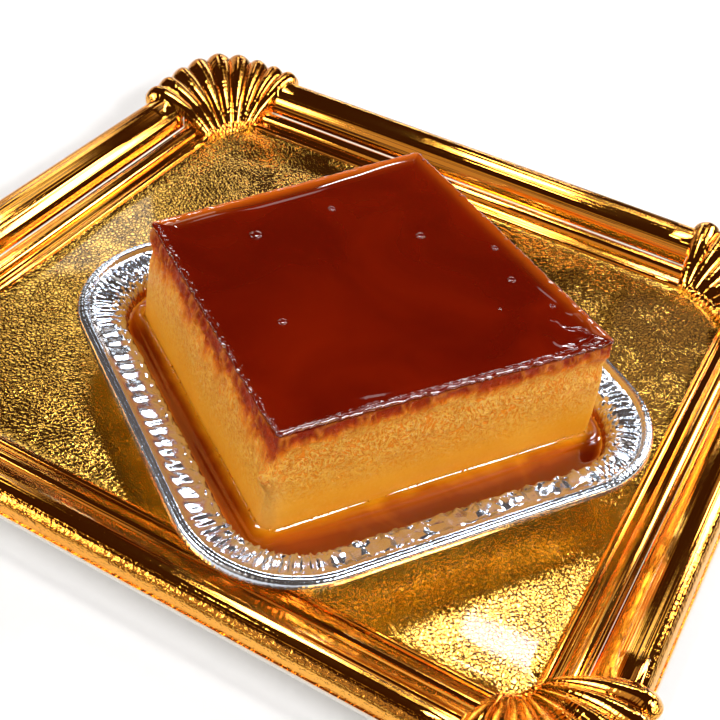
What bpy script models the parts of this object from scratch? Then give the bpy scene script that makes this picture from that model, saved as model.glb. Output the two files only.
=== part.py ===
"""Egg yolk flan in its foil baking case, on a gold pastry tray with shell corners.

Units are metres, +Z is up. The origin is under the middle of the tray, on the surface that the
tray stands on, and X runs along the tray's long side. The case and the flan share one frame that
is turned on the tray. Every piece is a stack of closed loops that share one count of points.
"""
import math

import bpy
import numpy as np

# ---------------------------------------------------------------- driving dimensions
CLEARANCE = 0.0003          # between pieces that touch

TRAY_LENGTH = 0.2551
TRAY_WIDTH = 0.2344
TRAY_BOARD = 0.0010         # thickness of the pressed board
BORDER_WIDTH = 0.0264
LIP_HEIGHT = 0.0072         # the board's outer edge above the tray's floor
ROLL_RISE = 0.0070          # the fat outer roll above the sloping border
RIDGE_RISE = 0.0021         # the second, narrower roll
BEAD_RISE = 0.0010          # the fine bead beside the floor
SHELL_FLUTES = 9
# Along the outline from each corner to its shell's two ends, anticlockwise from the +X +Y corner.
SHELL_REACHES = ((0.0430, 0.0490), (0.0390, 0.0480), (0.0430, 0.0430), (0.0370, 0.0385))
SHELL_TAPER = 0.0045        # how much shorter that is along the floor's edge
SHELL_PROUD = 0.0010        # how far a shell's ends stand out past the outline
SHELL_SWELL = 0.0022        # and its middle, further
SHELL_HEIGHT = 0.0148
SHELL_GROOVE = 0.0026       # depth between two flutes at the outer end
SHELL_SCALLOP = 0.0016      # and each flute's end, past the grooves beside it
SHELL_FOOT_SAG = 0.0010     # how far the line of the flutes' feet bends towards the corner
SHELL_ROUNDING = 5.0        # power of the superellipse that a shell's outer edge follows

FOOD_TURN = math.radians(55.1)
CASE_CENTRE = (0.0150, -0.0203)
CASE_LENGTH = 0.1407
CASE_WIDTH = 0.1440
CASE_CORNER = 0.0325
CASE_HEIGHT = 0.0168        # top of the rim's bead above the tray's floor
CASE_WALL = 0.0005
CASE_FOLDS = 12             # pressed folds round one corner
CASE_FOLD_DEPTH = 0.0009
CASE_LEAN = 0.0012          # how far the flan's weight has pushed the pan's floor along its X

SYRUP_LEVEL = 0.0065        # above the tray's floor
SYRUP_BASE = 0.0022

FLAN_CENTRE = (0.0157, -0.0157)
FLAN_HEIGHT = 0.0420        # top of the caramel above the tray's floor
FLAN_SINK = 0.0006          # how far the caramel lies below the corners of the crust
CARAMEL_THICKNESS = 0.0016
CRUST_DEPTH = 0.0100        # how far the browned, craggy band reaches down the sides
CRUST_CRAG = 0.0006
EAR_RISE = 0.0030           # lump on the front corner's edge
FLAN_TOP_CORNERS = ((-0.0499, -0.0463), (0.0500, -0.0464), (0.0439, 0.0565), (-0.0499, 0.0463))
FLAN_FOOT_CORNERS = ((-0.0528, -0.0475), (0.0512, -0.0470), (0.0452, 0.0532), (-0.0534, 0.0484))
FLAN_BASE_CORNERS = ((-0.0520, -0.0470), (0.0492, -0.0462), (0.0438, 0.0515), (-0.0520, 0.0476))
FLAN_CORNER_TOP = 0.0022
FLAN_CORNER_FOOT = 0.0050

FLOOR = TRAY_BOARD          # height of the tray's floor
CASE_UNDERSIDE = FLOOR + CLEARANCE
CASE_FLOOR = CASE_UNDERSIDE + CASE_WALL
FLAN_BASE = CASE_FLOOR + CLEARANCE
CUSTARD_TOP = FLOOR + FLAN_HEIGHT - FLAN_SINK - CARAMEL_THICKNESS - CLEARANCE


# ---------------------------------------------------------------- shared steps
def clear_scene():
    """Remove whatever the file starts with."""
    for old in list(bpy.data.objects):
        bpy.data.objects.remove(old, do_unlink=True)


def make_material(name, colour, roughness, metallic):
    """A plain Principled material."""
    material = bpy.data.materials.new(name)
    material.use_nodes = True
    shader = material.node_tree.nodes["Principled BSDF"]
    shader.inputs["Base Color"].default_value = (*colour, 1.0)
    shader.inputs["Roughness"].default_value = roughness
    shader.inputs["Metallic"].default_value = metallic
    return material


def loft(name, loops, material, collection, ring=False):
    """Join closed loops of equal point counts; cap the two ends, or close the stack on itself."""
    stack = np.asarray(loops, dtype=float)
    levels, count, _ = stack.shape
    index = np.arange(levels * count).reshape(levels, count)
    lower = index if ring else index[:-1]
    upper = np.roll(index, -1, axis=0) if ring else index[1:]
    quads = np.stack([lower, np.roll(lower, -1, axis=1), np.roll(upper, -1, axis=1), upper], axis=2)
    faces = quads.reshape(-1, 4).tolist()
    if not ring:
        faces.append(index[0][::-1].tolist())
        faces.append(index[-1].tolist())
    mesh = bpy.data.meshes.new(name)
    mesh.from_pydata(stack.reshape(-1, 3).tolist(), [], faces)
    mesh.materials.append(material)
    mesh.shade_smooth()
    mesh.set_sharp_from_angle(angle=math.radians(35))
    piece = bpy.data.objects.new(name, mesh)
    collection.objects.link(piece)
    return piece


def half_round(along, centre, half_width):
    """Height, from 0 to 1, of a half-round ridge across a border."""
    offset = (np.asarray(along) - centre) / half_width
    return np.sqrt(np.clip(1.0 - offset ** 2, 0.0, 1.0))


def turned(points, centre):
    """Plan points from the food's own frame to the tray's."""
    cosine, sine = math.cos(FOOD_TURN), math.sin(FOOD_TURN)
    x, y = points[..., 0], points[..., 1]
    return np.stack([centre[0] + x * cosine - y * sine, centre[1] + x * sine + y * cosine], axis=-1)


def level(plan, height):
    """Give plan points a height, one for all or one each."""
    heights = np.broadcast_to(height, plan.shape[:-1])
    return np.concatenate([plan, heights[..., None]], axis=-1)


# ---------------------------------------------------------------- gold tray
ROLL_CENTRE, ROLL_HALF = 0.31, 0.28      # as shares of the border's width, from outside in
RIDGE_CENTRE, RIDGE_HALF = 0.73, 0.09
BEAD_CENTRE, BEAD_HALF = 0.945, 0.045
SHELL_CREST = 0.20                       # share of a flute's length where it is highest
TRAY_STEPS = (0.0, 0.035, 0.08, 0.18, 0.31, 0.44, 0.54, 0.59, 0.64, 0.68, 0.73, 0.78, 0.82, 0.90, 0.945, 1.0)
UNDERSIDE_STEPS = (0.0, 0.035, 0.18, 0.31, 0.44, 0.59, 0.90, 1.0)


def border_height(share):
    """Section of the straight border: a slope with a fat roll, a ridge and a bead on it."""
    roll = ROLL_RISE * half_round(share, ROLL_CENTRE, ROLL_HALF)
    ridge = RIDGE_RISE * half_round(share, RIDGE_CENTRE, RIDGE_HALF)
    bead = BEAD_RISE * half_round(share, BEAD_CENTRE, BEAD_HALF)
    return LIP_HEIGHT * (1.0 - share) + roll + ridge + bead


def shell_height(share, swell):
    """Section along a shell: up from the lip to a crest, then down in a long curve to the floor."""
    if share < SHELL_CREST:
        rise = half_round(share, SHELL_CREST, SHELL_CREST * 1.12)
        crown = LIP_HEIGHT + (SHELL_HEIGHT - LIP_HEIGHT) * rise
    else:
        fall = (share - SHELL_CREST) / (1.0 - SHELL_CREST)
        crown = SHELL_HEIGHT * (1.0 - fall ** 1.7) ** 0.8
    groove = SHELL_GROOVE * (1.0 - swell) * (1.0 - share) * (0.35 + 0.65 * min(1.0, share / SHELL_CREST))
    return crown - groove


def shell_plan(reaches, turn, share, swell):
    """Insets from the two sides of a corner, for a turn of 0 to 1 round its fan."""
    angle = turn * math.pi / 2.0
    enter, leave = reaches
    proud = SHELL_PROUD + SHELL_SWELL * math.sin(math.pi * turn) + SHELL_SCALLOP * swell
    sine, cosine = math.sin(angle), math.cos(angle)
    size = (cosine ** SHELL_ROUNDING + sine ** SHELL_ROUNDING) ** (-1.0 / SHELL_ROUNDING)
    outer = np.array([leave - (leave + proud) * size * cosine, enter - (enter + proud) * size * sine])
    start = np.array([BORDER_WIDTH, enter - SHELL_TAPER])
    end = np.array([leave - SHELL_TAPER, BORDER_WIDTH])
    foot = start + (end - start) * turn - SHELL_FOOT_SAG * math.sin(math.pi * turn)
    return outer + (foot - outer) * share


def tray_loop(share, height_drop):
    """One closed loop round the tray, at a share of the way from its lip to its floor."""
    points = []
    spans = 3 * SHELL_FLUTES
    for corner, reaches in enumerate(SHELL_REACHES):
        sign_x = (1, -1, -1, 1)[corner]
        sign_y = (1, 1, -1, -1)[corner]
        inset = BORDER_WIDTH * share
        enter, leave = (reach - SHELL_TAPER * share + 2.0 * CLEARANCE for reach in reaches)
        rows = [(inset, enter, border_height(share))]
        for step in range(spans + 1):
            turn = step / spans
            swell = abs(math.sin(math.pi * turn * SHELL_FLUTES))
            first, second = shell_plan(reaches, turn, share, swell)
            rows.append((first, second, shell_height(share, swell)))
        rows.append((leave, inset, border_height(share)))
        for first, second, height in rows:
            along_x, along_y = (first, second) if corner % 2 == 0 else (second, first)
            x = sign_x * (TRAY_LENGTH / 2.0 - along_x)
            y = sign_y * (TRAY_WIDTH / 2.0 - along_y)
            points.append((x, y, FLOOR + float(height) - height_drop))
    return np.array(points)


def build_tray(collection):
    """Pressed board: one skin of even thickness, flat in the middle, its border standing free."""
    gold = make_material("gold_foil_board", (0.83, 0.56, 0.13), 0.22, 1.0)
    under = [tray_loop(share, TRAY_BOARD) for share in reversed(UNDERSIDE_STEPS)]
    over = [tray_loop(share, 0.0) for share in TRAY_STEPS]
    return loft("gold_tray", under + over, gold, collection)


# ---------------------------------------------------------------- foil case
# Section from the middle out, as inset from the rim's outer edge, height over the tray's floor
# and the share of the fold depth that reaches there.
CASE_SECTION = (
    (0.0166, 0.0008, 0.0),
    (0.0154, 0.0012, 0.0),
    (0.0149, 0.0026, 0.0),
    (0.0141, SYRUP_LEVEL + 0.0004, 0.05),
    (0.0132, 0.0096, 0.4),
    (0.0094, 0.0130, 1.0),
    (0.0062, 0.0143, 1.0),
    (0.0040, 0.0148, 0.5),
    (0.0030, 0.0160, 0.2),
    (0.0018, CASE_HEIGHT, 0.1),
    (0.0005, 0.0160, 0.1),
    (0.0000, 0.0146, 0.1),
)
CASE_BOTTOM_INSET = 0.0149
CASE_WATER_INSET = 0.0142
ARC_STEPS = 2 * CASE_FOLDS


def case_outline(inset):
    """Rounded rectangle with its outward normals, every corner an arc of ARC_STEPS chords."""
    lean = np.array([CASE_LEAN * min(1.0, inset / CASE_WATER_INSET), 0.0])
    half_x = CASE_LENGTH / 2.0 - CASE_CORNER
    half_y = CASE_WIDTH / 2.0 - CASE_CORNER
    points, normals = [], []
    for corner in range(4):
        centre = (half_x * (1, -1, -1, 1)[corner], half_y * (1, 1, -1, -1)[corner])
        for step in range(ARC_STEPS + 1):
            angle = (corner + step / ARC_STEPS) * math.pi / 2.0
            normal = np.array([math.cos(angle), math.sin(angle)])
            points.append(np.array(centre) + lean + normal * (CASE_CORNER - inset))
            normals.append(normal)
    return np.array(points), np.array(normals)


def case_fold():
    """Zigzag of the pressed folds round the outline: -1 to 1 at the corners, 0 at their ends."""
    steps = np.arange(ARC_STEPS + 1)
    fade = np.sin(np.pi * steps / ARC_STEPS) ** 0.5
    return np.tile(np.where(steps % 2 == 0, -1.0, 1.0) * fade, 4)


def case_loop(inset, height, fold_share, thickness):
    """One loop of the case; thickness moves it out and down to the foil's other side."""
    plan, normals = case_outline(inset)
    fold = CASE_FOLD_DEPTH * fold_share * case_fold()[:, None]
    plan = plan + normals * (0.5 * fold + thickness)
    heights = FLOOR + height + 0.5 * fold[:, 0] - thickness
    return level(turned(plan, CASE_CENTRE), heights)


def build_case(collection):
    """Thin foil pan: flat floor, steep wall, folded shoulder and a bead rolled over at the rim."""
    silver = make_material("aluminium_foil", (0.80, 0.79, 0.77), 0.25, 1.0)
    inside = [case_loop(inset, height, fold, 0.0) for inset, height, fold in CASE_SECTION]
    outside = [case_loop(inset, height, fold, CASE_WALL) for inset, height, fold in CASE_SECTION[:9]]
    lip = case_loop(0.0009, 0.0143, 0.1, 0.0)
    return loft("foil_case", outside + [lip] + inside[::-1], silver, collection)


# ---------------------------------------------------------------- flan
SIDE_POINTS = 15            # along one side, between its corners
CORNER_STEPS = 4
WATERLINE = (FLOOR + SYRUP_LEVEL - FLAN_BASE) / (CUSTARD_TOP - FLAN_BASE)
FLAN_LEVELS = (0.0, WATERLINE, 0.25, 0.38, 0.50, 0.60, 0.68, 0.76, 0.84, 0.92, 0.97, 1.0)
EAR_LEVEL, EAR_HALF = 0.68, 0.13


def rounded_quad(corners, radius):
    """Outline of a four-sided plan with round corners, and its outward normals."""
    corners = np.array(corners)
    points, normals = [], []
    for index in range(4):
        here, before, after = corners[index], corners[index - 1], corners[(index + 1) % 4]
        along_in = (here - before) / np.linalg.norm(here - before)
        along_out = (after - here) / np.linalg.norm(after - here)
        first = math.atan2(-along_in[0], along_in[1])
        turn = math.acos(float(np.clip(along_in @ along_out, -1.0, 1.0)))
        bisector = along_out - along_in
        centre = here + bisector / np.linalg.norm(bisector) * radius / math.cos(turn / 2.0)
        angles = first + np.linspace(0.0, turn, CORNER_STEPS + 1)
        arc = np.stack([np.cos(angles), np.sin(angles)], axis=1)
        points.append(centre + arc * radius)
        normals.append(arc)
    outline, facing = [], []
    for index in range(4):
        outline.append(points[index])
        facing.append(normals[index])
        shares = np.linspace(0.0, 1.0, SIDE_POINTS + 2)[1:-1, None]
        start, end = points[index][-1], points[(index + 1) % 4][0]
        outline.append(start + (end - start) * shares)
        facing.append(np.repeat(normals[index][-1][None], SIDE_POINTS, axis=0))
    return np.concatenate(outline), np.concatenate(facing)


def flan_corners(share):
    """Corners of the plan at a share of the height: pinched at the base, spread at the waterline."""
    base, foot, top = (np.array(c) for c in (FLAN_BASE_CORNERS, FLAN_FOOT_CORNERS, FLAN_TOP_CORNERS))
    if share < WATERLINE:
        return base + (foot - base) * share / WATERLINE
    return foot + (top - foot) * (share - WATERLINE) / (1.0 - WATERLINE)


def flan_loop(share, outward=0.0):
    """One loop of the block: a rounded quad pushed in and out by waves, crags and the ear."""
    radius = FLAN_CORNER_FOOT + (FLAN_CORNER_TOP - FLAN_CORNER_FOOT) * min(1.0, share * 1.2)
    plan, normals = rounded_quad(flan_corners(share), radius)
    count = len(plan)
    around = np.arange(count) / count * 2.0 * math.pi
    above = min(1.0, max(0.0, (share - 0.16) / 0.2))
    wave = 0.0004 * np.sin(5.0 * around + 3.0 * share) + 0.0003 * np.sin(11.0 * around - 7.0 * share)
    depth = (1.0 - share) * FLAN_HEIGHT / CRUST_DEPTH
    crust = math.exp(-(depth ** 2) * 2.0)
    crag = CRUST_CRAG * np.sin(23.0 * around + 9.0 * share) * np.sin(37.0 * around + 40.0 * share)
    waist = -0.0007 * math.exp(-((share - 0.80) / 0.10) ** 2)
    edge = 1.0 - share ** 6
    push = above * (wave * edge + crust * crag * edge + waist) + outward
    plan = plan + normals * push[:, None]
    ear = EAR_RISE * math.exp(-((share - EAR_LEVEL) / EAR_HALF) ** 2 * 2.0)
    from_corner = np.linalg.norm(plan - flan_corners(share)[0], axis=1) / 0.004
    lift = np.exp(-(from_corner ** 2))[:, None]
    return plan + lift * ear * np.array([-0.9, -0.2])


def build_flan(collection):
    """Baked custard block with its browned, craggy upper band."""
    custard = make_material("baked_custard", (0.72, 0.38, 0.09), 0.45, 0.0)
    heights = [FLAN_BASE + (CUSTARD_TOP - FLAN_BASE) * share for share in FLAN_LEVELS]
    plans = [turned(flan_loop(share), FLAN_CENTRE) for share in FLAN_LEVELS]
    loops = [level(plan, height) for plan, height in zip(plans, heights)]
    return loft("custard_flan", loops, custard, collection)


def build_caramel(collection):
    """Dark set caramel that covers the block's top, its edge rounded over."""
    caramel = make_material("set_caramel", (0.22, 0.02, 0.005), 0.08, 0.0)
    base = CUSTARD_TOP + CLEARANCE
    edge = (
        (-0.0006, 0.0),
        (0.0, 0.0006),
        (-0.0002, 0.0016),
        (-0.0014, 0.0022),
        (-0.0040, CARAMEL_THICKNESS),
    )
    loops = [level(turned(flan_loop(1.0, push), FLAN_CENTRE), base + rise) for push, rise in edge]
    return loft("caramel_top", loops, caramel, collection)


# ---------------------------------------------------------------- syrup
def case_reach(plan, inset):
    """Carry flan points straight out from the flan's middle to the inner wall of the case."""
    wall, _ = case_outline(inset)
    wall = turned(wall, CASE_CENTRE) - np.array(FLAN_CENTRE)
    wall_angle = np.arctan2(wall[:, 1], wall[:, 0])
    order = np.argsort(wall_angle)
    ray = plan - np.array(FLAN_CENTRE)
    ray_angle = np.arctan2(ray[:, 1], ray[:, 0])
    after = np.searchsorted(wall_angle[order], ray_angle) % len(order)
    start, end = wall[order[after - 1]], wall[order[after]]
    heading = np.stack([np.cos(ray_angle), np.sin(ray_angle)], axis=1)
    edge = end - start
    crossing = start[:, 0] * edge[:, 1] - start[:, 1] * edge[:, 0]
    reach = crossing / (heading[:, 0] * edge[:, 1] - heading[:, 1] * edge[:, 0])
    return np.array(FLAN_CENTRE) + heading * reach[:, None]


def build_syrup(collection):
    """Pool of thin caramel round the foot of the flan, up to its level in the case."""
    syrup = make_material("caramel_syrup", (0.32, 0.07, 0.01), 0.05, 0.0)
    low = FLOOR + SYRUP_BASE
    low_share = (low - FLAN_BASE) / (CUSTARD_TOP - FLAN_BASE)
    inner_low = turned(flan_loop(low_share, CLEARANCE), FLAN_CENTRE)
    inner_high = turned(flan_loop(WATERLINE, CLEARANCE), FLAN_CENTRE)
    outer_low = case_reach(inner_low, CASE_BOTTOM_INSET + 1.5 * CLEARANCE)
    outer_high = case_reach(inner_high, CASE_WATER_INSET + 1.5 * CLEARANCE)
    loops = [
        level(inner_low, low),
        level(outer_low, low),
        level(outer_high, FLOOR + SYRUP_LEVEL),
        level(inner_high, FLOOR + SYRUP_LEVEL),
    ]
    return loft("syrup_pool", loops, syrup, collection, ring=True)


clear_scene()
pieces = bpy.data.collections.new("egg_yolk_flan")
bpy.context.scene.collection.children.link(pieces)
build_tray(pieces)
build_case(pieces)
build_flan(pieces)
build_caramel(pieces)
build_syrup(pieces)
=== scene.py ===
"""Egg yolk flan in its foil case, standing in caramel syrup on a pressed gold pastry tray."""
import math

import bpy
import numpy as np
from mathutils import Matrix, Vector


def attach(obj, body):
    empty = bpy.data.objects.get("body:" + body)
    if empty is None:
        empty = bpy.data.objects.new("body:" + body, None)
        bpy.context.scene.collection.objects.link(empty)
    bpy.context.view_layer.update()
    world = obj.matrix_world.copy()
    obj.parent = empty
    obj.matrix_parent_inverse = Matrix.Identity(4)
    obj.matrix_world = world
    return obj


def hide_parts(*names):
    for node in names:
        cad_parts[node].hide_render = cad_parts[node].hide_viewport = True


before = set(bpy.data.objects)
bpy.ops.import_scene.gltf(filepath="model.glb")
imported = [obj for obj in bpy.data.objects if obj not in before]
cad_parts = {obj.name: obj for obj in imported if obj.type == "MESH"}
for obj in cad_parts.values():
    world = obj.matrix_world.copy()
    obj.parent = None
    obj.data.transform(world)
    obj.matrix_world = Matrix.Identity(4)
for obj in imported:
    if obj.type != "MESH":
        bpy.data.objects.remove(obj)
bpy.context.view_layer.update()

# ----------------------------------------------------------------------
# The tray: gold foil laminated on white card, pressed hot in one blow. Its flat floor is grained
# like leather; the border is a fat roll, a groove, a small ridge and a bead, and at each corner
# the card is gathered into a fan of round flutes. The card's cut edge is left white.
TRAY_LENGTH = 0.2551
TRAY_WIDTH = 0.2344
BOARD = 0.0010
BORDER = 0.0264
LIP_HEIGHT = 0.0072
ROLL = (0.0070, 0.31, 0.28)          # rise, centre and half width as shares of the border
RIDGE = (0.0021, 0.73, 0.09)
BEAD = (0.0010, 0.945, 0.045)
FLUTES = 9
SHELL_REACHES = ((0.0430, 0.0490), (0.0390, 0.0480), (0.0430, 0.0430), (0.0370, 0.0385))
SHELL_TAPER = 0.0045
SHELL_PROUD, SHELL_SWELL, SHELL_SCALLOP = 0.0010, 0.0022, 0.0016
SHELL_FOOT_SAG = 0.0010
SHELL_ROUNDING = 5.0
SHELL_HEIGHT, SHELL_GROOVE, SHELL_CREST = 0.0148, 0.0026, 0.20
FOOT_GROOVE = 0.0009
STEP_GAP = 0.0006                    # the little wall where a shell rides up on the border
FLUTE_STEPS = 12
SIDE_STEPS = 16
FLOOR_RINGS = 26
EDGE_BEADS, PEARL_RISE = 13, 0.0009  # fine pearls along the foot of each shell
BORDER_RIPPLE, FLOOR_WAVE = 0.00003, 0.00008


def soft_noise(points, cell, seed):
    """Noise from -1 to 1: random values on the corners of cubes of side cell, blended along each
    axis with 3t^2 - 2t^3."""
    scaled = np.asarray(points, dtype=float) / cell
    base = np.floor(scaled).astype(np.int64)
    part = scaled - base
    part = part * part * (3.0 - 2.0 * part)
    total = np.zeros(scaled.shape[:-1])
    for corner in np.ndindex(2, 2, 2):
        mixed = (base + np.array(corner)) @ np.array([73856093, 19349663, 83492791]) + seed * 7919
        mixed = (mixed & 0xFFFFFFFF) * 1274126177 & 0xFFFFFFFF
        mixed = ((mixed ^ (mixed >> 15)) * 40503) & 0xFFFFFF
        weight = np.prod(np.where(np.array(corner) == 1, part, 1.0 - part), axis=-1)
        total += weight * (mixed / 8388607.5 - 1.0)
    return total


def add_object(mesh, material):
    """An object of the mesh's name in the scene, with its material."""
    mesh.materials.append(material)
    piece = bpy.data.objects.new(mesh.name, mesh)
    bpy.context.scene.collection.objects.link(piece)
    return piece


def add_skin(name, loops, material, ring=False, masks=None, around=None, across=None, sharp=50.0):
    """A closed skin through a stack of closed loops (rows x columns x 3). Columns wrap round; the
    first and last loops are filled, or joined to each other when ring is set. around and across
    are lengths for a UV map, along the loops (one more value than columns) and across them."""
    stack = np.asarray(loops, dtype=np.float32)
    rows, columns = stack.shape[:2]
    index = np.arange(rows * columns).reshape(rows, columns)
    low = index if ring else index[:-1]
    high = np.roll(index, -1, axis=0) if ring else index[1:]
    quads = np.stack([low, np.roll(low, -1, 1), np.roll(high, -1, 1), high], axis=-1).reshape(-1, 4)
    corners = quads.ravel()
    starts = np.arange(len(quads)) * 4
    if not ring:
        corners = np.concatenate([corners, index[0][::-1], index[-1]])
        starts = np.concatenate([starts, [len(quads) * 4, len(quads) * 4 + columns]])
    mesh = bpy.data.meshes.new(name)
    mesh.vertices.add(rows * columns)
    mesh.vertices.foreach_set("co", stack.ravel())
    mesh.loops.add(len(corners))
    mesh.loops.foreach_set("vertex_index", corners.astype(np.int32))
    mesh.polygons.add(len(starts))
    mesh.polygons.foreach_set("loop_start", starts.astype(np.int32))
    mesh.update(calc_edges=True)
    for mask, values in (masks or {}).items():
        layer = mesh.attributes.new(mask, "FLOAT", "POINT")
        spread = np.broadcast_to(values, (rows, columns)).astype(np.float32)
        layer.data.foreach_set("value", spread.ravel())
    if around is not None:
        row, column = np.divmod(corners, columns)
        seam = np.zeros(len(corners), dtype=bool)
        seam[: len(quads) * 4] = np.isin(np.arange(len(quads) * 4) % 4, (1, 2))
        wrapped = np.where(seam & (column == 0), columns, column)
        layer = mesh.uv_layers.new(name="lengths")
        pairs = np.stack([np.asarray(around)[wrapped], np.asarray(across)[row]], axis=-1)
        layer.data.foreach_set("uv", pairs.astype(np.float32).ravel())
    mesh.shade_smooth()
    mesh.set_sharp_from_angle(angle=math.radians(sharp))
    return add_object(mesh, material)


def flat_noise(plan, cell, seed):
    """The same noise on plan points."""
    return soft_noise(np.column_stack([plan, np.zeros(len(plan))]), cell, seed)


def half_round(share, centre, half_width):
    """Height of a half-round ridge: the root of 1 minus the squared offset from its centre."""
    return np.sqrt(np.clip(1.0 - ((share - centre) / half_width) ** 2, 0.0, 1.0))


def shell_ends():
    """Outer end, foot, swell of the flute and shell mask for every column round the tray.
    A shell's outer ends lie on a superellipse about its corner, pushed out by a rectified sine
    for the flutes; the feet lie on a shallow arc that cuts the corner of the floor."""
    outer, foot, swell, shell = [], [], [], []
    for corner, (enter, leave) in enumerate(SHELL_REACHES):
        turn = np.linspace(0.0, 1.0, FLUTES * FLUTE_STEPS + 1)
        lobe = np.abs(np.sin(np.pi * turn * FLUTES)) ** 0.8
        proud = SHELL_PROUD + SHELL_SWELL * np.sin(np.pi * turn) + SHELL_SCALLOP * lobe
        cosine, sine = np.cos(turn * np.pi / 2), np.sin(turn * np.pi / 2)
        size = (cosine ** SHELL_ROUNDING + sine ** SHELL_ROUNDING) ** (-1.0 / SHELL_ROUNDING)
        ends = np.stack([leave - (leave + proud) * size * cosine,
                         enter - (enter + proud) * size * sine], axis=-1)
        start = np.array([BORDER, enter - SHELL_TAPER])
        stop = np.array([leave - SHELL_TAPER, BORDER])
        feet = start + (stop - start) * turn[:, None]
        feet -= SHELL_FOOT_SAG * np.sin(np.pi * turn)[:, None]
        beside_enter = np.array([[0.0, enter + STEP_GAP]])
        beside_leave = np.array([[leave + STEP_GAP, 0.0]])
        ends = np.concatenate([beside_enter, ends, beside_leave])
        feet = np.concatenate([[[BORDER, enter - SHELL_TAPER + STEP_GAP]], feet,
                               [[leave - SHELL_TAPER + STEP_GAP, BORDER]]])
        if corner % 2:
            ends, feet = ends[:, ::-1], feet[:, ::-1]
        sign = np.array([(1, -1, -1, 1)[corner], (1, 1, -1, -1)[corner]])
        half = np.array([TRAY_LENGTH / 2, TRAY_WIDTH / 2])
        outer.append(sign * (half - ends))
        foot.append(sign * (half - feet))
        swell.append(np.concatenate([[0.0], lobe, [0.0]]))
        shell.append(np.concatenate([[0.0], np.ones_like(lobe), [0.0]]))
    columns = [[], [], [], []]
    steps = np.linspace(0.0, 1.0, SIDE_STEPS + 2)[1:-1]
    for corner in range(4):
        following = (corner + 1) % 4
        for store, part in zip(columns, (outer, foot)):
            run = part[corner][-1] + (part[following][0] - part[corner][-1]) * steps[:, None]
            store.append(np.concatenate([part[corner], run]))
        for store, part in zip(columns[2:], (swell, shell)):
            store.append(np.concatenate([part[corner], np.zeros(SIDE_STEPS)]))
    return [np.concatenate(store) for store in columns]


def tray_heights(share, swell, shell):
    """Height over the floor at a share of the way in from the lip. The border is a slope that
    carries half-rounds; a shell rises in a quarter ellipse to its crest and falls to the floor as
    (1 - x^1.7)^0.8, with grooves between its flutes that grow towards the lip."""
    slope = LIP_HEIGHT * (1.0 - share)
    ribs = sum(rise * half_round(share, centre, half) for rise, centre, half in (ROLL, RIDGE, BEAD))
    climb = half_round(share, SHELL_CREST, SHELL_CREST * 1.12)
    front = LIP_HEIGHT + (SHELL_HEIGHT - LIP_HEIGHT) * climb
    fall = np.clip((share - SHELL_CREST) / (1.0 - SHELL_CREST), 0.0, 1.0)
    back = SHELL_HEIGHT * (1.0 - fall ** 1.7) ** 0.8
    crown = np.where(share < SHELL_CREST, front, back)
    depth = SHELL_GROOVE * (1.0 - share) * (0.35 + 0.65 * np.minimum(1.0, share / SHELL_CREST))
    depth = depth + FOOT_GROOVE * share * (1.0 - share ** 12)
    return np.where(shell > 0.5, crown - depth * (1.0 - swell), slope + ribs)


def tray_skin():
    """Loops of the tray from the middle of its underside, out under the border, over the lip and
    in again to the middle of the floor, with their masks and lengths. The pearls are a rectified
    sine of the column, and the floor waves with a soft noise."""
    outer, foot, swell, shell = shell_ends()
    coarse = np.concatenate([np.linspace(1.0, 0.62, 10), np.linspace(0.56, 0.0, 22)])
    fine = np.concatenate([np.linspace(0.0, 0.03, 4), np.linspace(0.045, 0.57, 40),
                           np.linspace(0.585, 0.64, 6), np.linspace(0.65, 0.82, 16),
                           np.linspace(0.84, 1.0, 18)])
    rings = np.linspace(0.0, 1.0, FLOOR_RINGS + 1)[1:]
    column = np.arange(len(swell))
    pearls = np.abs(np.sin(np.pi * column / (FLUTE_STEPS * FLUTES / EDGE_BEADS)))

    def loop(share, drop):
        plan = outer + (foot - outer) * share
        rise = tray_heights(share, swell, shell)
        rise = rise + shell * PEARL_RISE * pearls * half_round(share, 0.965, 0.03)
        ripple = soft_noise(np.column_stack([plan, np.full(len(plan), share)]), 0.011, 3)
        rise = rise + BORDER_RIPPLE * ripple * math.sin(math.pi * share)
        return np.column_stack([plan, BOARD + rise - drop])

    loops = [loop(share, BOARD) for share in coarse] + [loop(share, 0.0) for share in fine]
    for ring in rings:
        plan = foot * (1.0 - 0.995 * ring)
        wave = FLOOR_WAVE * flat_noise(plan, 0.014, 11)
        loops.append(np.column_stack([plan, BOARD + wave * min(1.0, 4.0 * ring)]))
    under, level = np.ones(len(coarse)), np.ones(FLOOR_RINGS)
    masks = {"card": np.concatenate([under, fine < 0.012, 0.0 * level])[:, None],
             "floor": np.concatenate([0.0 * under, fine > 0.985, level])[:, None],
             "lip": np.concatenate([0.0 * under, np.exp(-((fine - 0.05) / 0.09) ** 2),
                                    0.0 * level])[:, None]}
    across = np.concatenate([-coarse * BORDER, fine * BORDER, BORDER + 0.1 * rings])
    rim = loops[len(coarse)]
    span = np.linalg.norm(np.roll(rim, -1, axis=0) - rim, axis=1)
    return np.array(loops), masks, np.concatenate([[0.0], np.cumsum(span)]), across


def connect(tree, plug, value):
    """Link a socket to an input, or set the input to a plain value."""
    if isinstance(value, bpy.types.NodeSocket):
        tree.links.new(value, plug)
    else:
        plug.default_value = value


def node(tree, kind, **settings):
    """Add a node. A setting with the name of an input, or at and its number, fills that input."""
    made = tree.nodes.new(kind)
    for key, value in settings.items():
        at = key[2:] if key.startswith("at") else ""
        plug = made.inputs[int(at)] if at.isdigit() else made.inputs.get(key.replace("_", " "))
        if plug is None:
            setattr(made, key, value)
        else:
            connect(tree, plug, value)
    return made


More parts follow.
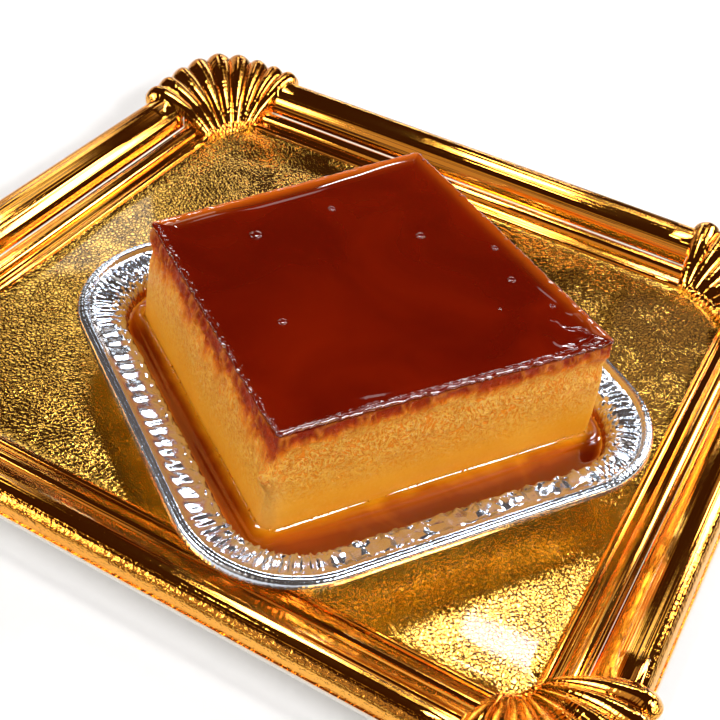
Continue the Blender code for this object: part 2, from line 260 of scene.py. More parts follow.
def new_material(name, roughness, metallic=0.0):
    """A Principled material, its node tree, its shader and the place in the object's own metres."""
    material = bpy.data.materials.new(name)
    material.use_nodes = True
    shader = material.node_tree.nodes["Principled BSDF"]
    shader.inputs["Roughness"].default_value = roughness
    shader.inputs["Metallic"].default_value = metallic
    place = node(material.node_tree, "ShaderNodeTexCoord").outputs["Object"]
    return material, material.node_tree, shader, place


def supply(tree, shader, **plugs):
    """Fill inputs of the shader with sockets or plain values."""
    for key, value in plugs.items():
        connect(tree, shader.inputs[key.replace("_", " ")], value)


def mix(tree, factor, first, second):
    """Blend two colours, each a socket or a colour, by a factor."""
    one, two = ((*tint, 1.0) if isinstance(tint, tuple) else tint for tint in (first, second))
    return node(tree, "ShaderNodeMix", data_type="RGBA", at0=factor, at6=one, at7=two).outputs[2]


def layers(tree, colour, *coats):
    """Lay tints over a colour one after another, each by its own factor."""
    for factor, tint in coats:
        colour = mix(tree, factor, colour, tint)
    return colour


def ramp(tree, factor, *stops):
    """A colour ramp of (place, grey or colour) stops."""
    made = tree.nodes.new("ShaderNodeValToRGB")
    tree.links.new(factor, made.inputs[0])
    band = made.color_ramp.elements
    while len(band) < len(stops):
        band.new(0.5)
    for element, (place, colour) in zip(band, stops):
        element.position = place
        element.color = (*colour, 1.0) if isinstance(colour, tuple) else (colour, colour, colour, 1.0)
    return made.outputs[0]


def mask(tree, name):
    """The value of one of the piece's own point attributes."""
    return node(tree, "ShaderNodeAttribute", attribute_name=name).outputs["Fac"]


def maths(tree, operation, first, second=0.0, third=0.0):
    """One arithmetic step on sockets or numbers."""
    return node(tree, "ShaderNodeMath", operation=operation, at0=first, at1=second, at2=third).outputs[0]


def times(tree, first, second):
    """The product of two sockets or numbers."""
    return maths(tree, "MULTIPLY", first, second)


def scaled(tree, value, gain, offset):
    """A value times a gain, plus an offset."""
    return maths(tree, "MULTIPLY_ADD", value, gain, offset)


def vector(tree, operation, first, second):
    """One step of vector arithmetic, as a node."""
    return node(tree, "ShaderNodeVectorMath", operation=operation, at0=first, at1=second)


def noise(tree, place, scale, detail=2.0, roughness=0.5, distortion=0.0):
    """Fractal noise of so many waves a metre."""
    return node(tree, "ShaderNodeTexNoise", Vector=place, Scale=scale, Detail=detail,
                Roughness=roughness, Distortion=distortion).outputs[0]


def bump(tree, height, distance, strength=1.0, **under):
    """A normal tilted by a height map whose unit is a distance in metres, over another normal
    where one is given."""
    return node(tree, "ShaderNodeBump", Strength=strength, Distance=distance, Height=height,
                **under).outputs[0]


def grain_group():
    """Leather grain: creases along the walls of jittered cells, over a fine crumple. Gives a
    height for a Bump node and a mask of the creases."""
    group = bpy.data.node_groups.new("leather_grain", "ShaderNodeTree")
    group.interface.new_socket("Place", in_out="INPUT", socket_type="NodeSocketVector")
    for name in ("Cells per metre", "Crumple"):
        group.interface.new_socket(name, in_out="INPUT", socket_type="NodeSocketFloat")
    for name in ("Height", "Creases"):
        group.interface.new_socket(name, in_out="OUTPUT", socket_type="NodeSocketFloat")
    enter = group.nodes.new("NodeGroupInput")
    leave = group.nodes.new("NodeGroupOutput")
    wobble = node(group, "ShaderNodeTexNoise", Vector=enter.outputs["Place"], Scale=700.0, Detail=3.0)
    shift = node(group, "ShaderNodeVectorMath", operation="SCALE", at0=wobble.outputs["Color"],
                 Scale=0.0012)
    place = vector(group, "ADD", enter.outputs["Place"], shift.outputs[0]).outputs[0]
    cells = node(group, "ShaderNodeTexVoronoi", feature="DISTANCE_TO_EDGE", Vector=place,
                 Scale=enter.outputs["Cells per metre"])
    crease = ramp(group, cells.outputs["Distance"], (0.0, 0.0), (0.26, 1.0))
    crumple = noise(group, enter.outputs["Place"], 1000.0, 4.0, 0.65, 0.6)
    share = times(group, crumple, enter.outputs["Crumple"])
    group.links.new(maths(group, "ADD", crease, share), leave.inputs["Height"])
    group.links.new(maths(group, "SUBTRACT", 1.0, crease), leave.inputs["Creases"])
    return group


LEATHER = grain_group()
GOLD = (0.97, 0.45, 0.065)
GOLD_DEEP = (0.92, 0.39, 0.045)
GOLD_GRAINED = (0.84, 0.52, 0.095)
# painted shade for the creases of the grained floor
GOLD_CREASE_SHADE = (0.50, 0.20, 0.015)
CARD = (0.86, 0.83, 0.76)


def gold_board():
    """Gold foil: mirror-smooth and faintly drawn along the border, hammered at the lip, grained on
    the floor with painted shade in its creases; bare card on the underside and at the cut edge."""
    material, tree, shader, place = new_material("gold_foil_board", 0.16, 1.0)
    lengths = node(tree, "ShaderNodeUVMap", uv_map="lengths").outputs[0]
    floor, card, lip = (mask(tree, name) for name in ("floor", "card", "lip"))
    leather = node(tree, "ShaderNodeGroup", node_tree=LEATHER, Place=place, Cells_per_metre=720.0,
                   Crumple=0.8)
    drawn_place = node(tree, "ShaderNodeMapping", Vector=lengths, Scale=(4.0, 1100.0, 1.0)).outputs[0]
    drawn = noise(tree, drawn_place, 1.0, 2.0, 0.6)
    crackle = noise(tree, place, 800.0, 3.0, 0.6)
    hammered = times(tree, crackle, scaled(tree, lip, 1.1, 0.04))
    smooth = scaled(tree, drawn, 0.75, hammered)
    patch = ramp(tree, noise(tree, place, 90.0), (0.38, 0.55), (0.62, 1.0))
    grained = times(tree, times(tree, leather.outputs["Height"], patch), 0.22)
    height = node(tree, "ShaderNodeMix", data_type="FLOAT", at0=floor, at2=smooth, at3=grained)
    broad = ramp(tree, noise(tree, place, 22.0, 3.0), (0.35, 0.0), (0.7, 1.0))
    # painted shade: the floor's leather creases are darkened in the colour
    crease_shade = times(tree, leather.outputs["Creases"], times(tree, floor, 0.4))
    tone = layers(tree, GOLD_DEEP, (broad, GOLD), (floor, GOLD_GRAINED), (crease_shade, GOLD_CREASE_SHADE),
                  (card, CARD))
    rough = scaled(tree, crackle, 0.06, scaled(tree, floor, 0.05, 0.04))
    supply(tree, shader, Base_Color=tone, Metallic=maths(tree, "SUBTRACT", 1.0, card),
           Roughness=scaled(tree, card, 0.5, rough), Normal=bump(tree, height.outputs[0], 0.0003),
           Coat_Weight=0.4, Coat_Roughness=0.05)
    return material


tray_loops, tray_masks, tray_around, tray_across = tray_skin()
tray = add_skin("pressed_tray", tray_loops, gold_board(), masks=tray_masks, around=tray_around,
                across=tray_across)
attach(tray, "root")
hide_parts("gold_tray")

# ----------------------------------------------------------------------
# The foil case: one sheet of aluminium foil drawn into a pan. The sheet gathers into pressed
# folds on the shoulder, fine round the corners and wider along the sides, and the rim is rolled
# over into a bead. The front wall is crushed into facets, and syrup has dried on the other walls.
FOOD_TURN = math.radians(55.1)
CASE_CENTRE = (0.0150, -0.0203)
CASE_LENGTH, CASE_WIDTH, CASE_CORNER = 0.1407, 0.1440, 0.0325
CASE_RIM = 0.0168
CASE_LEAN, WATER_INSET = 0.0012, 0.0135
FOIL = 0.00035
SYRUP_LEVEL = 0.0065
ARC_COLUMNS, STRAIGHT_COLUMNS = 120, 96
UNDER_ROWS = 56                      # below the rim the underside takes every third row
# inset from the rim's outer edge, height over the tray's floor, share of the fold depth
CASE_SECTION = (
    (0.0300, 0.0008, 0.0), (0.0164, 0.0008, 0.0), (0.0150, 0.0012, 0.0), (0.0144, 0.0026, 0.0),
    (0.0134, SYRUP_LEVEL + 0.0004, 0.10), (0.0128, 0.0098, 0.40), (0.0121, 0.0124, 0.8),
    (0.0110, 0.0137, 1.0), (0.0094, 0.0141, 1.0), (0.0062, 0.0145, 1.0), (0.0046, 0.0147, 0.8),
    (0.0040, 0.0148, 0.15), (0.0030, 0.0152, 0.05), (0.0026, 0.0163, 0.1), (0.0020, CASE_RIM, 0.1),
    (0.0015, 0.0164, 0.1), (0.0011, 0.0166, 0.1), (0.0005, 0.0162, 0.1), (0.0002, 0.0156, 0.1),
    (0.0000, 0.0146, 0.1),
)
# pitch on the sides, pitch in the corners, depth on the sides, extra depth in the corners, seed
WIDE_FOLDS = (0.0046, 0.0026, 0.00042, 0.00006, 5)
FINE_FOLDS = (0.0021, 0.0013, 0.00010, 0.0, 6)
RIM_FOLDS = (0.0030, 0.0012, 0.00002, 0.00011, 8)
BEAD_INSET = 0.0030
FACET_DEPTH, FACET_INSET, FACET_REACH = 0.0014, 0.0112, 0.0018
CROSS_DEPTH, DENT_DEPTH = 0.00020, 0.00005
BRIGHT_FOIL, LEDGE_SHADE, DRIED_SYRUP = (0.72, 0.79, 0.89), (0.60, 0.42, 0.24), (0.48, 0.17, 0.016)


def to_tray(plan, centre):
    """Turn plan points from the food's frame into the tray's."""
    cosine, sine = math.cos(FOOD_TURN), math.sin(FOOD_TURN)
    x, y = plan[..., 0], plan[..., 1]
    return np.stack([centre[0] + x * cosine - y * sine, centre[1] + x * sine + y * cosine], axis=-1)


def case_plan(inset):
    """Rounded rectangle at an inset: arcs about the corner centres joined by straights, with the
    outward normal and a corner mask for each column."""
    half = np.array([CASE_LENGTH / 2 - CASE_CORNER, CASE_WIDTH / 2 - CASE_CORNER])
    lean = np.array([CASE_LEAN * min(1.0, inset / WATER_INSET), 0.0])
    signs = np.array([(1, 1), (-1, 1), (-1, -1), (1, -1)])
    steps = np.linspace(0.0, 1.0, STRAIGHT_COLUMNS + 2)[1:-1, None]
    plan, normal, bend = [], [], []
    for corner in range(4):
        angle = (corner + np.linspace(0.0, 1.0, ARC_COLUMNS)) * np.pi / 2
        arc = np.stack([np.cos(angle), np.sin(angle)], axis=-1)
        plan.append(signs[corner] * half + lean + arc * (CASE_CORNER - inset))
        following = signs[(corner + 1) % 4] * half
        start, stop = plan[-1][-1], following + lean + arc[-1] * (CASE_CORNER - inset)
        plan.append(start + (stop - start) * steps)
        normal += [arc, np.repeat(arc[-1:], STRAIGHT_COLUMNS, axis=0)]
        bend += [np.sin(np.linspace(0.0, np.pi, ARC_COLUMNS)) ** 0.35, np.zeros(STRAIGHT_COLUMNS)]
    return np.concatenate(plan), np.concatenate(normal), np.concatenate(bend)


def pleats(distance, bend, side_pitch, corner_pitch, seed):
    """Zigzag of pressed folds, -1 to 1: sawteeth of uneven width, lean and depth, counted along
    the distance round at one pitch on the sides and another in the corners."""
    random = np.random.default_rng(seed)
    per_metre = bend / corner_pitch + (1.0 - bend) / side_pitch
    count = np.concatenate([[0.0], np.cumsum(per_metre * np.diff(distance))])
    total = max(4, int(round(count[-1])))
    widths = random.uniform(0.6, 1.4, total)
    edges = np.concatenate([[0.0], np.cumsum(widths)]) / widths.sum() * count[-1] * 1.00001
    place = count[:-1]
    tooth = np.clip(np.searchsorted(edges, place, side="right") - 1, 0, total - 1)
    within = (place - edges[tooth]) / (edges[tooth + 1] - edges[tooth])
    peak = random.uniform(0.25, 0.75, total)[tooth]
    saw = np.where(within < peak, within / peak, (1.0 - within) / (1.0 - peak))
    return (2.0 * saw - 1.0) * random.uniform(0.55, 1.0, total)[tooth]


def case_skin():
    """Loops of the foil: out along the underside and up the outside, over the bead, and back
    down the inside. Folds push the sheet along the section's own normal: zigzags on the shoulder
    and rim, and on the wall two crossing zigzags that lean to either side, which make facets."""
    section = np.array(CASE_SECTION)
    knots = np.linalg.norm(np.diff(section[:, :2], axis=0), axis=1)
    knots = np.concatenate([[0.0], np.cumsum(knots)])
    steps = np.concatenate([[0.0], np.linspace(knots[1], knots[-1], 74)])
    inset, height, share = (np.interp(steps, knots, section[:, k]) for k in range(3))
    tangent = np.gradient(np.stack([inset, height], axis=-1), axis=0)
    tangent /= np.linalg.norm(tangent, axis=1, keepdims=True)
    rim, rim_normal, bend = case_plan(0.0)
    span = np.linalg.norm(np.roll(rim, -1, axis=0) - rim, axis=1)
    around = np.concatenate([[0.0], np.cumsum(span)])
    run = around[:-1]
    wide, fine, tight = (pleats(around, bend, side_pitch, corner_pitch, seed) * (depth + extra * bend)
                         for side_pitch, corner_pitch, depth, extra, seed
                         in (WIDE_FOLDS, FINE_FOLDS, RIM_FOLDS))
    dents = flat_noise(np.column_stack([run, np.zeros(len(rim))]), 0.006, 21)

    def loop(k, face):
        plan, normal, _ = case_plan(inset[k])
        bead = 1.0 if inset[k] < BEAD_INSET else 0.0
        fold = (wide + fine) * share[k] * (1.0 - bead) + tight * bead * bend
        fold = fold + DENT_DEPTH * dents * (share[k] > 0.01)
        lean_one = np.abs((run + 0.9 * steps[k]) / 0.0051 % 1.0 - 0.5)
        lean_two = np.abs((run - 1.2 * steps[k] + 0.0016 * dents) / 0.0037 % 1.0 - 0.5)
        facet = (lean_one + 0.8 * lean_two) * (0.9 + 0.2 * dents)
        facet = facet * FACET_DEPTH * math.exp(-((inset[k] - FACET_INSET) / FACET_REACH) ** 2)
        crossed = np.column_stack([run + 1.3 * steps[k], np.full(len(rim), 0.7 * steps[k])])
        crossed = np.abs(flat_noise(crossed, 0.0026, 35))
        fold = fold + CROSS_DEPTH * share[k] * (1.0 - bead) * crossed
        push = (fold + facet) + face * FOIL / 2
        plan = plan + normal * (tangent[k, 1] * push)[:, None]
        return np.column_stack([to_tray(plan, CASE_CENTRE),
                                BOARD + height[k] + FOIL + tangent[k, 0] * push])

    under = np.concatenate([np.arange(0, UNDER_ROWS, 3), np.arange(UNDER_ROWS, len(steps))])
    inner = [loop(k, -1.0) for k in range(len(steps))]
    outer = [loop(k, 1.0) for k in under]
    rows = np.concatenate([under, np.arange(len(steps))[::-1]])
    inside = np.concatenate([np.zeros(len(under)), np.ones(len(steps))])
    deep, tall = inset[rows], height[rows]
    front = np.clip(-rim_normal[:, 1] * 1.6 - 0.5, 0.0, 1.0) * (1.0 - bend)
    ledge = np.exp(-((deep - 0.0035) / 0.0006) ** 2) * inside
    crushed = inside * np.clip((deep - 0.0046) / 0.0008, 0.0, 1.0)
    crushed = crushed * np.clip((0.0140 - deep) / 0.0010, 0.0, 1.0)
    low = np.clip(1.0 - (tall - SYRUP_LEVEL) / 0.0052, 0.0, 1.0) * inside
    masks = {"ledge": ledge[:, None] * (1.0 - 0.8 * bend)[None], "low": low[:, None],
             "splashed": (1.0 - 0.95 * front)[None], "crushed": crushed[:, None] * front[None]}
    return np.array(outer + inner[::-1]), masks, around, steps[rows]


def foil():
    """Bright foil with fine rolling lines, stained where syrup has run over it. On the crushed
    front every cell of a Voronoi pattern is a plane with its own random tilt."""
    material, tree, shader, place = new_material("aluminium_foil", 0.3, 0.95)
    lengths = node(tree, "ShaderNodeUVMap", uv_map="lengths").outputs[0]
    crush = noise(tree, place, 700.0, 4.0, 0.6, 0.5)
    lines_place = node(tree, "ShaderNodeMapping", Vector=lengths, Scale=(2200.0, 120.0, 1.0)).outputs[0]
    rolled = bump(tree, scaled(tree, noise(tree, lines_place, 1.0), 0.35, crush), 0.0002, 0.35)
    cells = node(tree, "ShaderNodeTexVoronoi", Vector=place, Scale=330.0)
    offset = vector(tree, "SUBTRACT", place, cells.outputs["Position"]).outputs[0]
    tilt = vector(tree, "SUBTRACT", cells.outputs["Color"], (0.5, 0.5, 0.5)).outputs[0]
    plane = vector(tree, "DOT_PRODUCT", offset, tilt).outputs["Value"]
    facets = times(tree, plane, times(tree, mask(tree, "crushed"), 0.9))
    stain = scaled(tree, noise(tree, place, 130.0, 3.0), 0.8, -0.4)
    low = mask(tree, "low")
    wet = ramp(tree, maths(tree, "ADD", low, times(tree, stain, low)), (0.28, 0.0), (0.5, 1.0))
    colour = layers(tree, BRIGHT_FOIL, (times(tree, mask(tree, "ledge"), 0.5), LEDGE_SHADE),
                    (times(tree, wet, mask(tree, "splashed")), DRIED_SYRUP))
    supply(tree, shader, Base_Color=colour, Roughness=scaled(tree, crush, 0.12, 0.12),
           Normal=bump(tree, facets, 1.0, Normal=rolled))
    return material


case_loops, case_masks, case_around, case_across = case_skin()
case = add_skin("drawn_foil_case", case_loops, foil(), masks=case_masks, around=case_around,
                across=case_across, sharp=70.0)
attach(case, "root")
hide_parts("foil_case")

# ----------------------------------------------------------------------
# The flan: egg yolk custard baked in a square mould and turned out. Its foot is smooth and wet,
# its sides are folded and finely pored, and the band under the caramel is browned and craggy. A
# flap of custard stands out from the front corner where it caught on the mould.
FLAN_CENTRE = (0.0157, -0.0157)
TOP_CORNERS = ((-0.0499, -0.0463), (0.0500, -0.0464), (0.0439, 0.0565), (-0.0499, 0.0463))
FOOT_CORNERS = ((-0.0528, -0.0475), (0.0512, -0.0470), (0.0452, 0.0532), (-0.0534, 0.0484))
BASE_CORNERS = ((-0.0520, -0.0470), (0.0492, -0.0462), (0.0438, 0.0515), (-0.0520, 0.0476))
FLAN_BASE = 0.0021
CUSTARD_TOP = 0.0410
CUSTARD_RISE = CUSTARD_TOP - FLAN_BASE
WATERLINE = (BOARD + SYRUP_LEVEL - FLAN_BASE) / CUSTARD_RISE
ROUND_TOP, ROUND_FOOT = 0.0016, 0.0046
QUAD_SIDE, QUAD_CORNER = 200, 12
CUSTARD_ROWS = 108
CRUST_REACH = 0.26                   # of the height, from the top
CRAG_DEPTH, WAIST_DEPTH, PORE_DEPTH = 0.00075, 0.0009, 0.00008
FLAP_PLACE, FLAP_REACH, FLAP_RISE = (-0.0516, -0.0452, 0.0275), (0.0030, 0.0022, 0.0042), 0.0032
FLESH_DEEP, FLESH = (0.92, 0.38, 0.020), (0.97, 0.45, 0.034)
# painted light on the raised curds and painted shade in the gaps between them
CURD, FOLD_GAP_SHADE = (1.0, 0.58, 0.10), (0.86, 0.22, 0.004)
# the corner colour is a painted highlight down the front corner's arris
WET_FOOT, CORNER_HIGHLIGHT = (0.78, 0.31, 0.010), (1.0, 0.60, 0.16)
# painted glints on some pores and painted shade in the pits of others
PORE_GLINT, PORE_PIT_SHADE = (1.0, 0.66, 0.20), (0.74, 0.19, 0.004)
CRUST_ORANGE, CRUST_RED, CRUST_DARK = (0.88, 0.24, 0.006), (0.58, 0.078, 0.0018), (0.30, 0.015, 0.0004)
# painted highlight on the crags' high places and painted shade in their gullies
CRAG_LIT, CRAG_GULLY_SHADE = (0.84, 0.27, 0.014), (0.44, 0.040, 0.001)


def quad_plan(corners, radius):
    """Four-sided outline with round corners: an arc tangent to both sides at each corner, straight
    runs between, and the outward normals."""
    corners = np.array(corners)
    arcs, facing = [], []
    for index in range(4):
        here, before, after = corners[index], corners[index - 1], corners[(index + 1) % 4]
        enter = (here - before) / np.linalg.norm(here - before)
        leave = (after - here) / np.linalg.norm(after - here)
        turn = math.acos(float(np.clip(enter @ leave, -1.0, 1.0)))
        bisector = (leave - enter) / np.linalg.norm(leave - enter)
        centre = here + bisector * radius / math.cos(turn / 2)
        angle = math.atan2(-enter[0], enter[1]) + np.linspace(0.0, turn, QUAD_CORNER)
        arc = np.stack([np.cos(angle), np.sin(angle)], axis=-1)
        arcs.append(centre + arc * radius)
        facing.append(arc)
    plan, normal = [], []
    steps = np.linspace(0.0, 1.0, QUAD_SIDE + 2)[1:-1, None]
    for index in range(4):
        start, stop = arcs[index][-1], arcs[(index + 1) % 4][0]
        plan += [arcs[index], start + (stop - start) * steps]
        normal += [facing[index], np.repeat(facing[index][-1:], QUAD_SIDE, axis=0)]
    return np.concatenate(plan), np.concatenate(normal)


def flan_corners(share):
    """Corners at a share of the height: they spread from the base to the waterline, then close
    evenly to the top."""
    base, foot, top = np.array(BASE_CORNERS), np.array(FOOT_CORNERS), np.array(TOP_CORNERS)
    if share < WATERLINE:
        return base + (foot - base) * share / WATERLINE
    return foot + (top - foot) * (share - WATERLINE) / (1.0 - WATERLINE)


def custard_loop(share):
    """One loop of the block, in the food's frame, without its relief."""
    radius = ROUND_FOOT + (ROUND_TOP - ROUND_FOOT) * min(1.0, share * 1.2)
    plan, normal = quad_plan(flan_corners(share), radius)
    return np.column_stack([plan, np.full(len(plan), FLAN_BASE + CUSTARD_RISE * share)]), normal


def custard_skin():
    """The block's loops pushed out by relief: slow waves, pores that fade towards the wet foot,
    crags in the browned band, a waist below the crust and the flap. The crags are 1 minus the size
    of a noise, sharp where it crosses zero; their high places are curled and masked for a painted
    highlight, the low ones are gullies masked for painted shade, and a mask marks a painted highlight
    down the front corner's arris."""
    shares = np.concatenate([[0.0], np.linspace(0.02, 1.0, CUSTARD_ROWS)])
    loops, rows = [], []
    for share in shares:
        points, normal = custard_loop(share)
        above = np.clip((share - WATERLINE) / 0.08, 0.0, 1.0)
        left = np.clip(-normal[:, 0], 0.0, 1.0)
        corner = np.linalg.norm(points[:, :2] - np.array(TOP_CORNERS[0]), axis=1)
        corner = np.exp(-(corner / 0.016) ** 2)
        depth = (1.0 - share) / (CRUST_REACH * (0.62 + 0.62 * left + 0.30 * corner))
        ragged = 1.0 + 0.50 * soft_noise(points * (1.0, 1.0, 0.2), 0.0045, 41)
        ragged = ragged + 0.35 * soft_noise(points * (1.0, 1.0, 0.15), 0.0013, 48)
        band = np.exp(-((depth - 0.25) / 0.55) ** 2)
        waves = 0.00040 * soft_noise(points, 0.021, 42) + 0.00018 * soft_noise(points, 0.008, 43)
        pores = 0.6 * soft_noise(points * (1.0, 1.0, 0.38), 0.0011, 44)
        pores = pores + 0.4 * soft_noise(points, 0.0006, 45)
        pored = np.clip((share - 0.30) / 0.3, 0.0, 1.0)
        ridges = 1.0 - 2.4 * np.abs(soft_noise(points * (1.0, 1.0, 0.55), 0.0024, 46))
        small = 1.0 - 2.2 * np.abs(soft_noise(points * (1.0, 1.0, 0.6), 0.0012, 47))
        ridges = ridges + 0.6 * small
        push = waves * (1.0 - share ** 6) + PORE_DEPTH * pored * pores
        push = push + CRAG_DEPTH * band * ridges * (1.0 - share ** 40)
        push = push - WAIST_DEPTH * math.exp(-((share - 0.80) / 0.09) ** 2)
        flap = np.linalg.norm((points - np.array(FLAP_PLACE)) / FLAP_REACH, axis=1)
        push = above * (push + FLAP_RISE * np.exp(-flap ** 2))
        points[:, :2] += normal * push[:, None]
        loops.append(np.column_stack([to_tray(points[:, :2], FLAN_CENTRE), points[:, 2]]))
        # the pale mask marks a painted highlight down the front corner's arris
        arris = np.linalg.norm(points[:, :2] - flan_corners(share)[0], axis=1)
        wet = float(np.clip(1.0 - (share - WATERLINE) / 0.22, 0.0, 1.0))
        rows.append({
            "crust": np.clip(1.0 - depth / ragged, 0.0, 1.0),
            "wet": np.full(len(points), wet),
            "curl_highlight": band * np.clip(ridges - 0.5, 0.0, 1.0),
            "relief": np.clip((share - 0.34 + 0.10 * left) / 0.36, 0.0, 1.0) * (1.0 - 0.20 * left),
            "pale": np.exp(-(arris / 0.0040) ** 2) * np.clip((0.75 - share) / 0.3, 0.0, 1.0) * above,
            "gully_shade": band * np.clip(0.45 - ridges, 0.0, 1.0),
        })
    masks = {name: np.array([row[name] for row in rows]) for name in rows[0]}
    around = np.linspace(0.0, 0.386, len(loops[0]) + 1)
    return np.array(loops), masks, around, shares * CUSTARD_RISE


def baked_custard():
    """Yellow-gold custard with painted light on its raised curds, painted shade in the deeper gold
    between them, and tiny pores with painted glints and painted shade. The crust goes from orange over
    red-brown to dark brown, with a painted highlight on its crags and painted shade in their gullies;
    a painted highlight runs down the front corner and the foot is glossy with syrup. Light scatters a
    few millimetres below the skin."""
    material, tree, shader, place = new_material("baked_custard", 0.42)
    names = ("crust", "wet", "curl_highlight", "relief", "pale", "gully_shade")
    crust, wet, curl_highlight, relief, pale, gully_shade = (mask(tree, name) for name in names)
    clouds = ramp(tree, noise(tree, place, 70.0, 3.0), (0.35, 0.0), (0.7, 1.0))
    swirls = noise(tree, place, 270.0, 3.0, 0.6, 2.8)
    pores = noise(tree, place, 1050.0, 4.0, 0.7)
    fold = ramp(tree, swirls, (0.41, 0.0), (0.48, 1.0), (0.52, 1.0), (0.60, 0.0))
    fold = times(tree, fold, relief)
    pored = scaled(tree, relief, 0.85, 0.15)
    edge = maths(tree, "ADD", crust, scaled(tree, pores, 0.5, -0.25))
    colour = layers(
        tree, mix(tree, clouds, FLESH_DEEP, FLESH),
        # painted light on the raised folds, painted shade in the gaps between them
        (times(tree, fold, 0.75), CURD),
        (times(tree, maths(tree, "SUBTRACT", relief, fold), 0.80), FOLD_GAP_SHADE),
        (times(tree, wet, 0.7), WET_FOOT),
        # painted highlight down the front corner
        (times(tree, pale, 0.45), CORNER_HIGHLIGHT),
        # painted glints and painted shade on the pores
        (times(tree, ramp(tree, pores, (0.55, 0.0), (0.66, 1.0)), pored), PORE_GLINT),
        (times(tree, ramp(tree, pores, (0.35, 1.0), (0.45, 0.0)), pored), PORE_PIT_SHADE),
        (ramp(tree, edge, (0.06, 0.0), (0.44, 1.0)), CRUST_ORANGE),
        (ramp(tree, edge, (0.31, 0.0), (0.56, 1.0)), CRUST_RED),
        (ramp(tree, edge, (0.54, 0.0), (0.80, 1.0)), CRUST_DARK),
        # painted highlight on the crag crests, then painted shade in the gullies
        (times(tree, curl_highlight, 0.7), CRAG_LIT),
        (times(tree, gully_shade, 0.9), CRAG_GULLY_SHADE),
    )
    skin = scaled(tree, fold, 0.60, times(tree, pores, pored))
    supply(tree, shader, Base_Color=colour, Normal=bump(tree, skin, 0.00035),
           Roughness=scaled(tree, crust, -0.12, scaled(tree, wet, -0.12, 0.40)),
           Specular_IOR_Level=0.22, Subsurface_Weight=0.15, Subsurface_Scale=0.003,
           Subsurface_Radius=(1.0, 0.45, 0.12))
    return material


custard_loops, custard_masks, custard_around, custard_across = custard_skin()
custard = add_skin("baked_flan", custard_loops, baked_custard(), masks=custard_masks,
                   around=custard_around, across=custard_across)
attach(custard, "root")
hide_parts("custard_flan")

# ----------------------------------------------------------------------
# The caramel: sugar cooked dark, set like glass on top of the custard. It lies level in the
# middle, draws up into a low rim along the edges, thins out to orange at the back edges and is
# beaded at the very edge; a skin has wrinkled near the right corner.
CARAMEL_BASE = 0.0408
CARAMEL_RISE = 0.0019
ROUNDING_IN, ROUNDING_UP = 0.0004, 0.0014
CARAMEL_RINGS = 96
RING_REACH, RING_MITRE = 0.046, 0.012
RIM_INSET, RIM_RISE = 0.0050, 0.00034
WRINKLE_PLACE, WRINKLE_REACH, WRINKLE_RISE = (0.0405, -0.0405), 0.0070, 0.00035
CARAMEL_DEEP, CARAMEL_CLEAR = (0.104, 0.0024, 0.0001), (0.168, 0.0060, 0.0002)
CARAMEL_THIN, CARAMEL_LIT = (0.30, 0.030, 0.001), (0.56, 0.11, 0.005)


def inset_corners(corners, inset):
    """Corners of a four-sided outline moved in by an inset: each slides along its mitre."""
    corners = np.array(corners)
    side = np.roll(corners, -1, axis=0) - corners
    out = np.stack([side[:, 1], -side[:, 0]], axis=-1) / np.linalg.norm(side, axis=1, keepdims=True)
    before = np.roll(out, 1, axis=0)
    return corners - inset * (out + before) / (1.0 + (out * before).sum(axis=1, keepdims=True))


